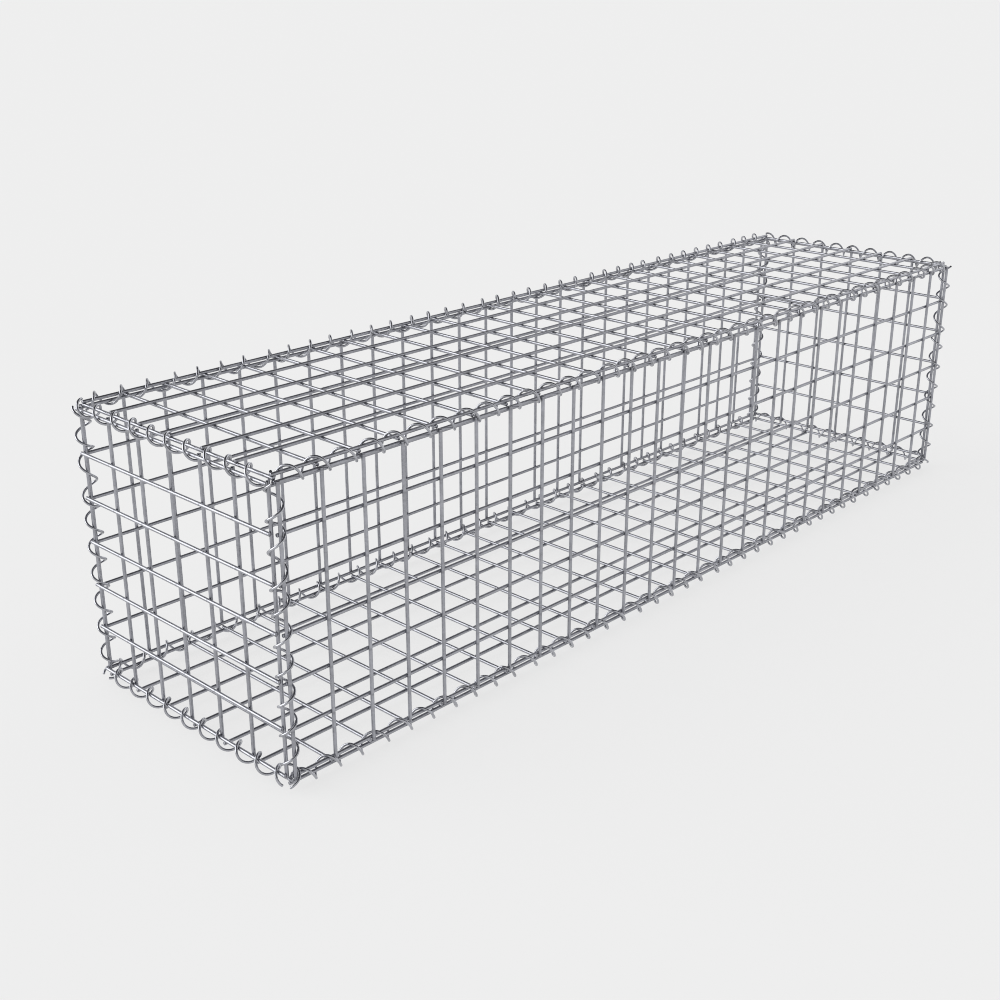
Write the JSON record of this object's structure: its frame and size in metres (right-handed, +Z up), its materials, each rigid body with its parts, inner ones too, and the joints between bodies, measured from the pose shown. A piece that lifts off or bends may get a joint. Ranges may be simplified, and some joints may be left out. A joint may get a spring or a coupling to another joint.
{
  "type": "empty welded-mesh gabion basket",
  "caption": "Long rectangular cage of square welded wire mesh for a gabion wall, its panels laced along every edge by spiral wire binders, empty and closed by its lid.",
  "frame": {"origin": "on the ground under the middle of the basket", "axes": "+X along the length, +Y from the front face to the back, +Z up"},
  "size_m": [2.0298, 0.5382, 0.5284],
  "materials": {
    "mesh_wire": "galvanised, satin",
    "spiral_wire": "galvanised, satin"
  },
  "bodies": {
    "root": {"front_panel": "mesh_wire", "back_panel": "mesh_wire", "left_end_panel": "mesh_wire", "right_end_panel": "mesh_wire", "top_panel": "mesh_wire", "bottom_panel": "mesh_wire", "front_bottom_spiral": "spiral_wire", "back_bottom_spiral": "spiral_wire", "left_bottom_spiral": "spiral_wire", "right_bottom_spiral": "spiral_wire", "front_top_spiral": "spiral_wire", "back_top_spiral": "spiral_wire", "left_top_spiral": "spiral_wire", "right_top_spiral": "spiral_wire", "front_left_spiral": "spiral_wire", "front_right_spiral": "spiral_wire", "back_left_spiral": "spiral_wire", "back_right_spiral": "spiral_wire"}
  },
  "joints": []
}
